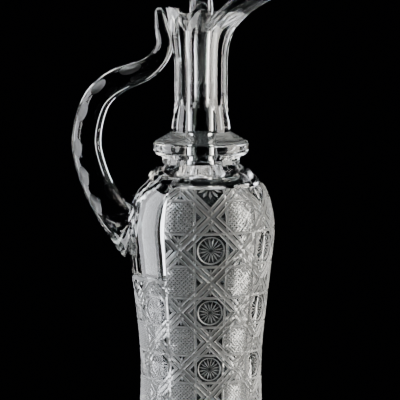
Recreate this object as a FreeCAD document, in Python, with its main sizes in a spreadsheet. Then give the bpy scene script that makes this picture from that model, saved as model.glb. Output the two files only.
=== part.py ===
"""Cut-glass handled decanter: vessel, neck ring, handle and loose stopper, in millimetres.

Origin at the centre of the base, +Z up, +X towards the pouring lip, so the handle is on -X.
Heights of the vessel are stacked: each rise starts where the one below it ends.
"""
import FreeCAD, Part
import Sketcher
import math
import os

# How fast the mouth opens with height: the lip sweeps out late, the back and sides early.
SPOUT_POWER = 3
FLARE_POWER = 1.5
# Thickness of the handle where it touches the neck, as a share of its thickest.
THUMB_SHARE = 0.57
# Radii of the blown body's corners, as shares of the belly's radius.
FOOT_SHARE = 0.859375
WAIST_SHARE = 0.79296875
SHOULDER_SHARE = 0.8984375
CROWN_SHARE = 0.64453125
# Cut pattern of the body: columns round it, rows up it, and the part left plain under the handle.
CUT_COLUMNS = 14
CUT_ROWS = 4.5
PLAIN_COLUMNS = 5
PLAIN_ROWS = 1.5

DRIVING = {
    # blown body, from the base up: the belly's radius is that of the outline's corner before it is rounded
    "foot_round": 3.0,
    "waist_height": 64.0,
    "waist_blend": 300.0,
    "belly_radius": 51.2,
    "belly_rise": 94.0,
    "belly_blend": 60.0,
    "shoulder_rise": 24.0,
    "shoulder_blend": 24.0,
    "crown_rise": 14.5,
    "crown_blend": 24.0,
    "collar_radius": 20.0,
    "collar_rise": 8.0,
    "collar_length": 22.0,
    "neck_radius": 18.2,
    "neck_sweep": 12.0,
    "neck_sweep_blend": 40.0,
    "neck_length": 27.0,
    # wheel cuts in the body, at the belly; they get smaller with the radius
    "cut_foot_height": 7.0,
    "cut_top_rise": 5.0,
    "column_cut_depth": 1.7,
    "column_cut_half_width": 1.9,
    "diagonal_cut_depth": 1.45,
    "diagonal_cut_half_width": 1.65,
    "wheel_clearance": 0.8,
    # hollow
    "wall": 7.0,
    "base_thickness": 14.0,
    "cavity_round": 12.0,
    "throat_blend": 5.0,
    # pouring mouth, above the neck
    "mouth_height": 61.5,
    "spout_reach": 70.0,
    "back_flare": 12.0,
    "side_flare": 5.0,
    "lip_wall": 3.5,
    # scalloped rim, as heights above the neck and distances along X
    "rim_back_rise": 40.5,
    "rim_back_round": 5.0,
    "rim_back_x": 18.0,
    "rim_hollow_rise": 34.5,
    "rim_hollow_round": 6.0,
    "rim_hollow_x": 9.0,
    "rim_peak_rise": 47.0,
    "rim_peak_round": 3.0,
    "rim_peak_x": 3.5,
    "rim_notch_rise": 33.5,
    "rim_notch_round": 1.5,
    "rim_notch_x": 9.5,
    "rim_spout_rise": 51.5,
    "rim_spout_round": 14.0,
    "rim_spout_x": 24.0,
    "rim_tip_rise": 53.5,
    # ring of glass laid round the collar
    "ring_foot_radius": 26.5,
    "ring_foot_lip": 3.5,
    "ring_radius": 32.6,
    "ring_under_rise": 4.0,
    "ring_side": 7.0,
    "ring_top_rise": 7.0,
    "ring_edge_round": 2.4,
    # stopper and its ground seat
    "seat_clearance": 0.1,
    "seat_length": 36.0,
    "seat_top_rise": 25.5,
    "peg_radius": 9.0,
    "peg_tip_radius": 7.4,
    "peg_tip_round": 0.8,
    "shank_radius": 8.0,
    "shank_step": 2.0,
    "shank_length": 31.0,
    "head_radius": 20.0,
    "head_table_radius": 9.0,
    "head_under_height": 12.0,
    "head_belt_height": 12.0,
    "head_crown_height": 16.0,
    # handle
    "handle_reach": 78.8,
    "handle_radius": 10.2,
    "handle_foot_drop": 3.5,
    "handle_middle_rise": 9.2,
    "handle_foot_half_height": 23.0,
    "handle_foot_half_width": 18.0,
    "thumb_rise": 15.5,
    "thumb_seat": 0.9,
    "handle_root_depth": 5.5,
}

DERIVED = {
    "foot_radius": f"belly_radius * {FOOT_SHARE}",
    "waist_radius": f"belly_radius * {WAIST_SHARE}",
    "shoulder_radius": f"belly_radius * {SHOULDER_SHARE}",
    "crown_radius": f"belly_radius * {CROWN_SHARE}",
    "belly_height": "waist_height + belly_rise",
    "shoulder_height": "belly_height + shoulder_rise",
    "crown_height": "shoulder_height + crown_rise",
    "collar_height": "crown_height + collar_rise",
    "collar_top": "collar_height + collar_length",
    "neck_height": "collar_top + neck_sweep",
    "mouth_start": "neck_height + neck_length",
    "mouth_top": "mouth_start + mouth_height",
    "cut_top_height": "shoulder_height + cut_top_rise",
    # hollow: the outline set in by the wall
    "cavity_waist_radius": "waist_radius - wall",
    "cavity_belly_radius": "belly_radius - wall",
    "cavity_shoulder_radius": "shoulder_radius - wall",
    "cavity_shoulder_height": "shoulder_height - wall / 2",
    "cavity_crown_radius": "crown_radius - wall / 2",
    "cavity_crown_height": "crown_height - wall",
    "cavity_top": "collar_height - wall",
    "bore_radius": "peg_tip_radius + seat_clearance",
    "seat_top_radius": "peg_radius + seat_clearance",
    "seat_top": "mouth_start + seat_top_rise",
    "seat_bottom": "seat_top - seat_length",
    # rim
    "rim_back_height": "mouth_start + rim_back_rise",
    "rim_hollow_height": "mouth_start + rim_hollow_rise",
    "rim_peak_height": "mouth_start + rim_peak_rise",
    "rim_notch_height": "mouth_start + rim_notch_rise",
    "rim_spout_height": "mouth_start + rim_spout_rise",
    "rim_tip_height": "mouth_start + rim_tip_rise",
    "rim_back_place": "-rim_back_x",
    "rim_hollow_place": "-rim_hollow_x",
    "rim_cut_front": "2 * (neck_radius + spout_reach)",
    "rim_cut_back": "-2 * (neck_radius + back_flare)",
    "rim_cut_top": "mouth_top + mouth_height",
    "rim_cut_width": "4 * (neck_radius + side_flare)",
    # ring: its underside lies on the crown of the shoulder
    "crown_slope": "collar_rise / (crown_radius - collar_radius)",
    "ring_foot_height": "collar_height - crown_slope * (ring_foot_radius - collar_radius)",
    "ring_foot_top": "ring_foot_height + ring_foot_lip",
    "ring_under_height": "ring_foot_top + ring_under_rise",
    "ring_side_top": "ring_under_height + ring_side",
    "ring_top": "ring_side_top + ring_top_rise",
    # stopper
    "shank_start": "seat_top + shank_step",
    "head_start": "seat_top + shank_length",
    "head_belt_start": "head_start + head_under_height",
    "head_belt_end": "head_belt_start + head_belt_height",
    "head_top": "head_belt_end + head_crown_height",
    # handle
    "handle_foot_height": "belly_height - handle_foot_drop",
    "handle_middle_height": "collar_height + handle_middle_rise",
    "thumb_height": "mouth_start + thumb_rise",
    "thumb_share": "thumb_rise / mouth_height",
    "neck_back": f"neck_radius + back_flare * thumb_share ^ {FLARE_POWER}",
    "thumb_place": f"neck_back + {THUMB_SHARE} * handle_radius - thumb_seat",
    "handle_root_place": "belly_radius - handle_root_depth",
}

MOUTH_LEVELS = (0.0, 0.24, 0.45, 0.62, 0.76, 0.88, 1.0)
FUNNEL_LEVELS = ((0.0, 0.0), (0.18, 0.62), (0.36, 1.0), (0.58, 1.0), (0.8, 1.0), (1.03, 1.0))

# Handle sections from the foot up: share of the way out to the reach, share of the way up,
# half height and half width as shares of the handle's radius.
LOWER_ARM_SHARES = (
    (0.16, 0.04, 1.56, 1.35),
    (0.45, 0.19, 1.14, 1.10),
    (0.73, 0.456, 1.04, 1.02),
    (0.92, 0.747, 1.02, 1.00),
    (1.0, 1.0, 1.0, 0.98),
)
UPPER_ARM_SHARES = (
    (0.96, 0.235, 0.97, 0.95),
    (0.86, 0.438, 0.92, 0.90),
    (0.71, 0.57, 0.87, 0.85),
    (0.52, 0.66, 0.81, 0.80),
    (0.25, 0.743, 0.73, 0.72),
    (0.087, 0.85, 0.64, 0.63),
    (0.0, 1.0, THUMB_SHARE, 0.56),
    (0.04, 1.178, 0.46, 0.45),
    (0.068, 1.32, 0.31, 0.30),
    (0.075, 1.37, 0.13, 0.12),
)
HEAD_SIDES = 8

doc = FreeCAD.newDocument("decanter")


def make_sheet():
    """Driving sizes as numbers and derived sizes as formulas, one aliased cell each."""
    sheet = doc.addObject("Spreadsheet::Sheet", "sizes")
    for row, (alias, size) in enumerate(DRIVING.items(), start=1):
        sheet.set(f"A{row}", alias)
        sheet.set(f"B{row}", str(size))
        sheet.setAlias(f"B{row}", alias)
    for row, (alias, formula) in enumerate(DERIVED.items(), start=1):
        sheet.set(f"D{row}", alias)
        sheet.set(f"E{row}", "=" + formula)
        sheet.setAlias(f"E{row}", alias)
    doc.recompute()
    return sheet


sizes = make_sheet()


def size(alias):
    return float(getattr(sizes, alias))


def origin_plane(body, role):
    return next(plane for plane in body.Origin.OriginFeatures if plane.Role == role)


def place_point(sketch, geometry, end, x_alias, y_alias):
    """Holds one end of a sketch element at two named sizes; no name means on that axis."""
    if x_alias is None:
        sketch.addConstraint(Sketcher.Constraint("PointOnObject", geometry, end, -2))
    else:
        row = sketch.addConstraint(Sketcher.Constraint("DistanceX", -1, 1, geometry, end, size(x_alias)))
        sketch.setExpression(f"Constraints[{row}]", f"sizes.{x_alias}")
    if y_alias is None:
        sketch.addConstraint(Sketcher.Constraint("PointOnObject", geometry, end, -1))
    else:
        row = sketch.addConstraint(Sketcher.Constraint("DistanceY", -1, 1, geometry, end, size(y_alias)))
        sketch.setExpression(f"Constraints[{row}]", f"sizes.{y_alias}")


def draw_outline(sketch, corners):
    """Closed outline of straight runs between corners that are named by their sizes."""
    spots = []
    for x_alias, y_alias, _ in corners:
        x = size(x_alias) if x_alias else 0.0
        y = size(y_alias) if y_alias else 0.0
        spots.append(FreeCAD.Vector(x, y, 0))
    ends = spots[1:] + spots[:1]
    runs = [sketch.addGeometry(Part.LineSegment(start, end)) for start, end in zip(spots, ends)]
    for index, (x_alias, y_alias, _) in enumerate(corners):
        sketch.addConstraint(Sketcher.Constraint("Coincident", runs[index - 1], 2, runs[index], 1))
        place_point(sketch, runs[index], 1, x_alias, y_alias)


def body_sketch(body, name, corners):
    sketch = body.newObject("Sketcher::SketchObject", name)
    sketch.AttachmentSupport = [(origin_plane(body, "XZ_Plane"), "")]
    sketch.MapMode = "FlatFace"
    draw_outline(sketch, corners)
    return sketch


def edge_at(shape, x, z):
    """Name of the edge that a corner of an outline became, found where it crosses the XZ plane."""
    corner = Part.Vertex(FreeCAD.Vector(x, 0, z))
    away = [edge.distToShape(corner)[0] for edge in shape.Edges]
    across = [abs(edge.tangentAt(edge.FirstParameter).z) < 1e-6 for edge in shape.Edges]
    nearest = min((far, index) for index, far in enumerate(away) if across[index])
    return f"Edge{nearest[1] + 1}"


def round_corners(body, feature, name, corners):
    """Fillets along the edges of the corners that have a rounding."""
    for x_alias, y_alias, radius_alias in corners:
        if radius_alias is None:
            continue
        z = size(y_alias) if y_alias else 0.0
        fillet = body.newObject("PartDesign::Fillet", f"{name}_{x_alias}_round")
        fillet.Base = (feature, [edge_at(feature.Shape, size(x_alias), z)])
        fillet.setExpression("Radius", f"sizes.{radius_alias}")
        doc.recompute()
        feature = fillet
    return feature


def turn(body, name, corners):
    """A full turn of an outline about the vertical axis, with its corners rounded."""
    sketch = body_sketch(body, name + "_outline", corners)
    feature = body.newObject("PartDesign::Revolution", name)
    feature.Profile = sketch
    feature.ReferenceAxis = (sketch, ["V_Axis"])
    feature.Angle = 360.0
    doc.recompute()
    return round_corners(body, feature, name, corners)


def ellipse(name, half_length, half_width, placement):
    """Section of a loft; its half length lies along the section's own X."""
    section = doc.addObject("Part::Ellipse", name)
    section.setExpression("MajorRadius", half_length)
    section.setExpression("MinorRadius", half_width)
    section.Placement = placement
    return section


def loft(name, sections, ruled=False):
    feature = doc.addObject("Part::Loft", name)
    feature.Sections = sections
    feature.Solid = True
    feature.Ruled = ruled
    return feature


def cut(name, base, tool):
    feature = doc.addObject("Part::Cut", name)
    feature.Base = base
    feature.Tool = tool
    return feature


def fuse(name, base, tool):
    feature = doc.addObject("Part::Fuse", name)
    feature.Base = base
    feature.Tool = tool
    feature.Refine = True
    return feature


def level_section(name, nose, back, side, height):
    """Level ellipse that reaches nose towards the lip, back towards the handle and side either way."""
    section = ellipse(name, f"({nose} + {back}) / 2", side, FreeCAD.Placement())
    section.setExpression("Placement.Base.x", f"({nose} - {back}) / 2")
    section.setExpression("Placement.Base.z", height)
    return section


def mouth_reach(share):
    """Reach of the mouth's outside towards the lip, the handle and each side, at a share of its height."""
    nose = f"(sizes.neck_radius + sizes.spout_reach * ({share}) ^ {SPOUT_POWER})"
    back = f"(sizes.neck_radius + sizes.back_flare * ({share}) ^ {FLARE_POWER})"
    side = f"(sizes.neck_radius + sizes.side_flare * ({share}) ^ {FLARE_POWER})"
    return nose, back, side


def make_mouth_outside():
    sections = []
    for index, share in enumerate(MOUTH_LEVELS):
        nose, back, side = mouth_reach(share)
        height = f"sizes.mouth_start + sizes.mouth_height * {share}"
        sections.append(level_section(f"mouth_level_{index}", nose, back, side, height))
    return loft("mouth_outside", sections)


def make_mouth_hollow():
    """Funnel from the top of the ground seat to the lip, a lip wall inside the mouth's outside."""
    sections = []
    for index, (way_up, opened) in enumerate(FUNNEL_LEVELS):
        rise = f"(sizes.seat_top_rise + {way_up} * (sizes.mouth_height - sizes.seat_top_rise))"
        share = f"{rise} / sizes.mouth_height"
        nose, back, side = mouth_reach(share)
        lean = f"({SPOUT_POWER} * sizes.spout_reach * ({share}) ^ {SPOUT_POWER - 1} / sizes.mouth_height)"
        walls = (f"sizes.lip_wall * sqrt(1 + {lean} ^ 2)", "sizes.lip_wall", "sizes.lip_wall")
        reaches = []
        for outside, wall in zip((nose, back, side), walls):
            inside = f"({outside} - {wall})"
            reaches.append(f"(sizes.seat_top_radius * {1 - opened} + {inside} * {opened})")
        sections.append(level_section(f"funnel_level_{index}", *reaches, f"sizes.mouth_start + {rise}"))
    return loft("mouth_hollow", sections)


def make_rim_cut():
    """Everything above the scalloped rim, seen from the side and run right across the mouth."""
    block = doc.addObject("PartDesign::Body", "rim_cut")
    corners = (
        ("rim_cut_back", "rim_back_height", None),
        ("rim_back_place", "rim_back_height", "rim_back_round"),
        ("rim_hollow_place", "rim_hollow_height", "rim_hollow_round"),
        ("rim_peak_x", "rim_peak_height", "rim_peak_round"),
        ("rim_notch_x", "rim_notch_height", "rim_notch_round"),
        ("rim_spout_x", "rim_spout_height", "rim_spout_round"),
        ("rim_cut_front", "rim_tip_height", None),
        ("rim_cut_front", "rim_cut_top", None),
        ("rim_cut_back", "rim_cut_top", None),
    )
    pad = block.newObject("PartDesign::Pad", "rim_pad")
    pad.Profile = body_sketch(block, "rim_outline", corners)
    pad.Midplane = True
    pad.setExpression("Length", "sizes.rim_cut_width")
    doc.recompute()
    round_corners(block, pad, "rim", corners)
    return block


def body_course(blown):
    """Rows of (way up, radius, height, outward r, outward z) up the outside of the blown body.

    The way up is an angle, so that the cut pattern keeps its proportions where the body narrows.
    It starts at the lowest cut.
    """
    outline = blown.Shape.slice(FreeCAD.Vector(0, 1, 0), 0.0)[0].discretize(Number=4000)
    low = size("cut_foot_height")
    high = size("cut_top_height")
    margin = 2 * size("column_cut_half_width")
    cut_part = [spot for spot in outline if spot.x > 0 and low - margin < spot.z < high + margin]
    side = sorted((spot.z, spot.x) for spot in cut_part)
    rows = []
    way = 0.0
    for (z, r), (next_z, next_r) in zip(side, side[1:]):
        run = math.hypot(next_z - z, next_r - r)
        if run < 1e-6:
            continue
        rows.append((way, r, z, (next_z - z) / run, (r - next_r) / run))
        way += run / r
    start = next(row[0] for row in rows if row[2] >= low)
    return [(row[0] - start, *row[1:]) for row in rows]


def on_body(course, turn, way, lift):
    """Point on the blown body, lifted from it; the turn is an angle round from the lip."""
    after = next(index for index, row in enumerate(course) if row[0] >= way)
    _, r, z, out_r, out_z = course[after]
    height = lift * r / size("belly_radius")
    reach = r + out_r * height
    return FreeCAD.Vector(reach * math.cos(turn), reach * math.sin(turn), z + out_z * height)


def wheel_cut(course, line, across, depth, half_width):
    """V-shaped cut along a line of (turn, way) places, as a solid that stands out of the glass."""
    lift = size("wheel_clearance")
    spread = half_width * (depth + lift) / depth / size("belly_radius")
    sections = []
    for turn, way in line:
        near = on_body(course, turn - across[0] * spread, way - across[1] * spread, lift)
        bottom = on_body(course, turn, way, -depth)
        far = on_body(course, turn + across[0] * spread, way + across[1] * spread, lift)
        sections.append(Part.makePolygon([near, bottom, far, near]))
    return Part.makeLoft(sections, True, True)


def in_reserve(turn, way, top, period):
    """Whether a place lies in the plain reserve, which is centred on the handle."""
    from_handle = abs(abs((turn + math.pi) % (2 * math.pi) - math.pi) - math.pi)
    beside = from_handle < math.pi * PLAIN_COLUMNS / CUT_COLUMNS - 1e-6
    return beside and way > top - PLAIN_ROWS * period + 1e-6


def cut_lines(top, period):
    """Lines of the column cuts and of the long diagonals, each with the direction across it."""
    width = 2 * math.pi / CUT_COLUMNS
    quarters = round(4 * CUT_ROWS)
    # two places to a row's quarter where the shoulder curves in, then one
    steps = [0, 0.5, *range(1, quarters + 1)]
    ways = [top - step * period / 4 for step in steps]
    lines = []
    for column in range(CUT_COLUMNS):
        turn = (column + 0.5) * width
        lines.append(([(turn, way) for way in ways], (1.0, 0.0), "column"))
    lean = math.hypot(period / 2, width)
    for start in range(0, CUT_COLUMNS, 2):
        for sense in (1, -1):
            line = [(start * width + sense * step * width / 2, way) for step, way in zip(steps, ways)]
            lines.append((line, (period / 2 / lean, sense * width / lean), "diagonal"))
    return lines


def plain_runs(line, top, period):
    """The stretches of a line that lie outside the plain reserve."""
    runs = [[]]
    for here, after in zip(line, line[1:]):
        middle = ((here[0] + after[0]) / 2, (here[1] + after[1]) / 2)
        if in_reserve(*middle, top, period):
            runs.append([])
            continue
        if not runs[-1]:
            runs[-1].append(here)
        runs[-1].append(after)
    return [run for run in runs if run]


def make_wheel_cuts(blown):
    """The deep cuts that divide the body's pattern; its finer cutting is left out."""
    course = body_course(blown)
    top = next(row[0] for row in course if row[2] >= size("cut_top_height"))
    period = top / CUT_ROWS
    cuts = []
    for line, across, kind in cut_lines(top, period):
        depth = size(kind + "_cut_depth")
        half_width = size(kind + "_cut_half_width")
        for run in plain_runs(line, top, period):
            cuts.append(wheel_cut(course, run, across, depth, half_width))
    feature = doc.addObject("Part::Feature", "wheel_cuts")
    feature.Shape = Part.makeCompound(cuts)
    return feature


def make_vessel():
    blown = doc.addObject("PartDesign::Body", "blown_form")
    turn(blown, "blown_turn", (
        (None, None, None),
        ("foot_radius", None, "foot_round"),
        ("waist_radius", "waist_height", "waist_blend"),
        ("belly_radius", "belly_height", "belly_blend"),
        ("shoulder_radius", "shoulder_height", "shoulder_blend"),
        ("crown_radius", "crown_height", "crown_blend"),
        ("collar_radius", "collar_height", None),
        ("collar_radius", "collar_top", "neck_sweep_blend"),
        ("neck_radius", "neck_height", "neck_sweep_blend"),
        ("neck_radius", "mouth_start", None),
        (None, "mouth_start", None),
    ))
    hollow = doc.addObject("PartDesign::Body", "hollow_form")
    turn(hollow, "hollow_turn", (
        (None, "base_thickness", None),
        ("cavity_waist_radius", "base_thickness", "cavity_round"),
        ("cavity_waist_radius", "waist_height", None),
        ("cavity_belly_radius", "belly_height", "belly_blend"),
        ("cavity_shoulder_radius", "cavity_shoulder_height", "shoulder_blend"),
        ("cavity_crown_radius", "cavity_crown_height", "crown_blend"),
        ("bore_radius", "cavity_top", "throat_blend"),
        ("bore_radius", "seat_bottom", None),
        ("seat_top_radius", "seat_top", None),
        (None, "seat_top", None),
    ))
    blank = fuse("vessel_blank", blown, make_mouth_outside())
    opening = fuse("vessel_opening", hollow, make_mouth_hollow())
    mouthed = cut("vessel_mouthed", cut("vessel_hollowed", blank, opening), make_rim_cut())
    vessel = cut("vessel", mouthed, make_wheel_cuts(blown))
    vessel.Label = "vessel"
    return blank, vessel


def make_neck_ring():
    ring = doc.addObject("PartDesign::Body", "neck_ring")
    turn(ring, "ring_turn", (
        ("collar_radius", "collar_height", None),
        ("ring_foot_radius", "ring_foot_height", None),
        ("ring_foot_radius", "ring_foot_top", None),
        ("ring_radius", "ring_under_height", "ring_edge_round"),
        ("ring_radius", "ring_side_top", "ring_edge_round"),
        ("collar_radius", "ring_top", None),
    ))
    ring.Label = "neck_ring"
    return ring


def handle_stations():
    """Centre, half height and half width of each section of the handle, from the foot up."""
    reach = size("handle_reach")
    root = size("handle_root_place")
    thumb = size("thumb_place")
    foot_height = size("handle_foot_height")
    middle_height = size("handle_middle_height")
    thumb_height = size("thumb_height")
    stations = [(-root, foot_height, "sizes.handle_foot_half_height", "sizes.handle_foot_half_width")]
    arms = (
        (LOWER_ARM_SHARES, root, foot_height, middle_height),
        (UPPER_ARM_SHARES, thumb, middle_height, thumb_height),
    )
    for arm, near, low, high in arms:
        for out, up, half_height, half_width in arm:
            x = -(near + out * (reach - near))
            z = low + up * (high - low)
            sizes_of_section = (f"sizes.handle_radius * {half_height}", f"sizes.handle_radius * {half_width}")
            stations.append((x, z, *sizes_of_section))
    return stations


def make_handle(vessel_blank):
    """Drawn rod of glass, lofted along its line and seated on the vessel's own outside."""
    stations = handle_stations()
    centres = [FreeCAD.Vector(x, 0, z) for x, z, _, _ in stations]
    across = FreeCAD.Vector(0, 1, 0)
    sections = []
    for index, (_, _, half_height, half_width) in enumerate(stations):
        before = centres[max(index - 1, 0)]
        after = centres[min(index + 1, len(centres) - 1)]
        along = (after - before).normalize()
        turned = FreeCAD.Rotation(across.cross(along), across, along, "ZYX")
        place = FreeCAD.Placement(centres[index], turned)
        sections.append(ellipse(f"handle_section_{index}", half_height, half_width, place))
    handle = cut("handle", loft("handle_gather", sections), vessel_blank)
    handle.Label = "handle"
    return handle


def make_stopper():
    peg = doc.addObject("PartDesign::Body", "stopper_peg")
    turn(peg, "peg_turn", (
        (None, "seat_bottom", None),
        ("peg_tip_radius", "seat_bottom", "peg_tip_round"),
        ("peg_radius", "seat_top", None),
        ("shank_radius", "shank_start", None),
        ("shank_radius", "head_start", None),
        (None, "head_start", None),
    ))
    levels = (
        ("shank_radius", "head_start"),
        ("head_radius", "head_belt_start"),
        ("head_radius", "head_belt_end"),
        ("head_table_radius", "head_top"),
    )
    outlines = []
    for index, (radius_alias, height_alias) in enumerate(levels):
        outline = doc.addObject("Part::RegularPolygon", f"head_level_{index}")
        outline.Polygon = HEAD_SIDES
        outline.setExpression("Circumradius", f"sizes.{radius_alias}")
        outline.setExpression("Placement.Base.z", f"sizes.{height_alias}")
        outlines.append(outline)
    stopper = fuse("stopper", peg, loft("stopper_head", outlines, ruled=True))
    stopper.Label = "stopper"
    return stopper


def main():
    vessel_blank, vessel = make_vessel()
    pieces = [vessel, make_neck_ring(), make_handle(vessel_blank), make_stopper()]
    doc.recompute()
    failed = [item.Name for item in doc.Objects if "Invalid" in item.State or "Error" in item.State]
    if failed:
        raise RuntimeError(f"not built: {failed}")
    os.makedirs("parts", exist_ok=True)
    for piece in pieces:
        shape = piece.Shape
        if shape.isNull() or not shape.isValid():
            raise RuntimeError(f"bad shape: {piece.Label}")
        shape.exportStep(f"parts/{piece.Label}.step")
        print(piece.Label, len(shape.Solids), "solid", round(shape.Volume / 1000, 1), "cm3")


main()
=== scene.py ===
"""Looks of the cut-crystal handled decanter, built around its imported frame, in metres.

The cutting is made as on the real glass: V-shaped wheels are taken out of one flat panel of each kind,
and the panels are then laid round the blown body.
"""
import math

import bmesh
import bpy
from mathutils import Matrix, Vector


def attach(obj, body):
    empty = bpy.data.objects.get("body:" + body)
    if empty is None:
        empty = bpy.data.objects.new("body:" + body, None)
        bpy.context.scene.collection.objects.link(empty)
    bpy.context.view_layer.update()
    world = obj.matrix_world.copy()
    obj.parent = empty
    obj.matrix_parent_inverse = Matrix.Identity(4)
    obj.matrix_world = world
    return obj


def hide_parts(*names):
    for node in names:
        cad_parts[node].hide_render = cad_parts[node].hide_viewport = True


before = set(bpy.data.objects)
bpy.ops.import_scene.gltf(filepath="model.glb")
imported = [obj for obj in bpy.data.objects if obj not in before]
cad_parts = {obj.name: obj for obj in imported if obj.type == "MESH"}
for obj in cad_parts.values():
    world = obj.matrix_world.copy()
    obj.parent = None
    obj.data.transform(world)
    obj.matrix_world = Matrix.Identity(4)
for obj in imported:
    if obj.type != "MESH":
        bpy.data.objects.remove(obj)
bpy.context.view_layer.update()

MM = 0.001

# Finishes of the glass, in the order of the materials that every piece carries.
CUT, BLOWN, JOINT, SEAT, SATIN, SHADED_INSIDE, WHEEL = range(7)

# Sizes of the vessel in millimetres, with heights above the table.
BASE = 14
COLLAR_RADIUS = 20
NECK_FOOT = 204.5
NECK_RADIUS = 18.2
RING_SEAT = 26.5
BORE_RADIUS = 7.5
SEAT_RADIUS = 9.1
SEAT_FOOT = 255
SEAT_TOP = 291
MOUTH_START = 265.5
MOUTH_HEIGHT = 61.5
MOUTH_TOP = MOUTH_START + MOUTH_HEIGHT
# The mouth's reach beyond the neck towards the lip, the handle and each side, and how late it flares.
LIP_REACH = 70
BACK_FLARE = 12
SIDE_FLARE = 5
LIP_POWER = 3
FLARE_POWER = 1.5
LIP_WALL = 3.5
# Opening of the mouth's funnel as (share of the way up, share of the full width).
FUNNEL = ((0.0, 0.0), (0.18, 0.62), (0.36, 1.0), (1.2, 1.0))

# Outlines as (radius, height, rounding); the rim's are (x, height, rounding).
OUTSIDE = (
    (0, 0, 0), (44, 0, 3), (40.6, 64, 300), (51.2, 158, 60), (46, 182, 24), (33, 196.5, 24),
    (COLLAR_RADIUS, NECK_FOOT, 0), (COLLAR_RADIUS, 226.5, 40), (NECK_RADIUS, 238.5, 40),
    (NECK_RADIUS, MOUTH_START, 0),
)
HOLLOW = (
    (0, BASE, 0), (33.6, BASE, 12), (33.6, 64, 0), (44.2, 158, 60), (39, 178.5, 24), (29.5, 189.5, 24),
    (BORE_RADIUS, 197.5, 5), (BORE_RADIUS, SEAT_FOOT, 0), (SEAT_RADIUS, SEAT_TOP, 0),
)
RIM = (
    (-60, 306, 0), (-18, 306, 5), (-9, 300, 6), (3.5, 312.5, 3), (9.5, 299, 1.5), (24, 317, 14),
    (176.4, 319, 0),
)
RING = (
    (COLLAR_RADIUS, NECK_FOOT, 0), (RING_SEAT, 200.5, 0), (RING_SEAT, 204, 0), (32.6, 208, 3.6),
    (32.6, 215, 3.6), (COLLAR_RADIUS, 222, 0),
)
# Points nearer to the axis than this lie on it.
NEAR_AXIS = 1

# Cut pattern: columns round the body and rows of panels up it, with a plain reserve under the handle.
COLUMNS = 14
ROWS = 4.5
CUT_FOOT = 7.0
CUT_TOP = 187.0
RESERVE = range(5, 10)
RESERVE_ROWS = 1.5
# Columns at both edges of the reserve, with the side on which they meet.
DEEP_SIDES = {4: -1, 5: 1, 9: -1, 10: 1}
PANEL_WIDTH = 22.4
PANEL_THICKNESS = 5
HALF_WIDTH = PANEL_WIDTH / 2
REACH = COLUMNS * PANEL_WIDTH / (2 * math.pi)
PANEL_ANGLE = PANEL_WIDTH / REACH
# Divisions of a panel's width and of a row's height, so that panels and plain glass meet point to point.
PER_COLUMN = 4
PER_ROW = 8
COURSE_STEP = 0.5

# Wheel cuts as (depth, half width) at the belly.
BORDER_CUT = (1.7, 1.9)
BORDER_DEPTH, BORDER_HALF = BORDER_CUT
COLUMN_CUT = (0.9, 0.9)
DIAGONAL_CUT = (1.45, 1.65)
FINE_CUT = (1.0, 1.1)
LEVEL_CUT = (0.9, 1.0)
TIP_CUT = (0.9, 0.9)
SIDE_TIP_CUT = (0.8, 0.8)
RAY_CUT = (0.7, 0.45)
FAN_CUT = (1.0, 1.1)
# How far wheels stand above the glass and run past a panel, and where a pointed cut is widest.
CLEAR = 1
SPLIT_CLEAR = 1.5
OVERRUN = 2
DIAGONAL_OVERRUN = 1.5
LEVEL_OVERRUN = 1
WIDEST = 0.6
# The long diagonals: distance to the finer cuts beside them, and how far they run past the middle.
LATTICE_STEP = 3.6
CROSSING = 1.2
# Pointed cuts at a panel's ends: heights from its middle, and how far the outer two stand and lean.
TIP_START = 12.6
TIP_END = 16.6
SIDE_TIP_END = 15.2
TIP_SPREAD = 2.7
TIP_LEAN = 0.8
# Hatched field.
HATCH_SIDE_GAP = 1.2
HATCH_DIAGONAL_GAP = 1.25
HATCH_HALF_HEIGHT = 10.0
HATCH_PITCH = 2.1
HATCH_DEPTH = 0.6
HATCH_HALF = 0.62
HATCH_LIFT = 0.1
HATCH_TEETH = 8
HATCH_RUN = 16
HATCH_BLOCK = 3
# Star: radii of its disc's floor and of its wheel, depth of the disc, and ends of the rays.
STAR_FLOOR = 8.7
STAR_WHEEL = 10.5
STAR_DEPTH = 0.8
STAR_RAYS = 16
STAR_HUB = 1.0
STAR_TIP = 8.9
# Fan: leans of its cuts in degrees, and how far from the edge's middle they start and end.
FAN_LEANS = (-64, -32, 0, 32, 64)
FAN_START = 3.2
FAN_END = 10.0
# Faces of a flat panel that are steeper than this are wheel facets.
LEVEL_FACE = 0.98
NEAR = 1e-4

# Flutes of the neck, and the notches on the ridges beside the lip.
FLUTES = 11
AROUND = 154
PER_FLUTE = AROUND // FLUTES
FLUTE_FOOT = 236.0
FLUTE_RUN_OUT = 11.0
FLUTE_DEPTH = 1.25
FLUTE_ROUND = 0.8
# The flute under the handle's tip starts above it.
BACK_FLUTE_FOOT = 296
BACK_FLUTE_RUN_OUT = 4
NOTCHED = (1, FLUTES - 1)
NOTCH_FOOT = 246
NOTCH_DEPTH = 0.4

# Heights of the plain rings at the foot of the neck, then of the fine ones where the flutes begin.
JOINT_HEIGHT = 210.0
FIRST_NECK_HEIGHT = 216.0
NECK_HEIGHTS = (222.0, 224.5, 227.0, 230.0, 233.0, *(235.0 + 0.7 * step for step in range(22)))
DOME_STEPS = 10
NECK_ROWS = 92
FUNNEL_ROWS = 16
RIM_CROWN = 0.5
HOLLOW_STEP = 5
FOOT_TOP = 3.2
# Star under the base as (radius, height of the cuts' ridges, height of the cuts), and its middle.
BASE_STAR = ((37.0, 0.0, 0.0), (22.0, 0.5, 2.6), (5.0, 1.2, 1.9))
BASE_STAR_MIDDLE = 1.6

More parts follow.
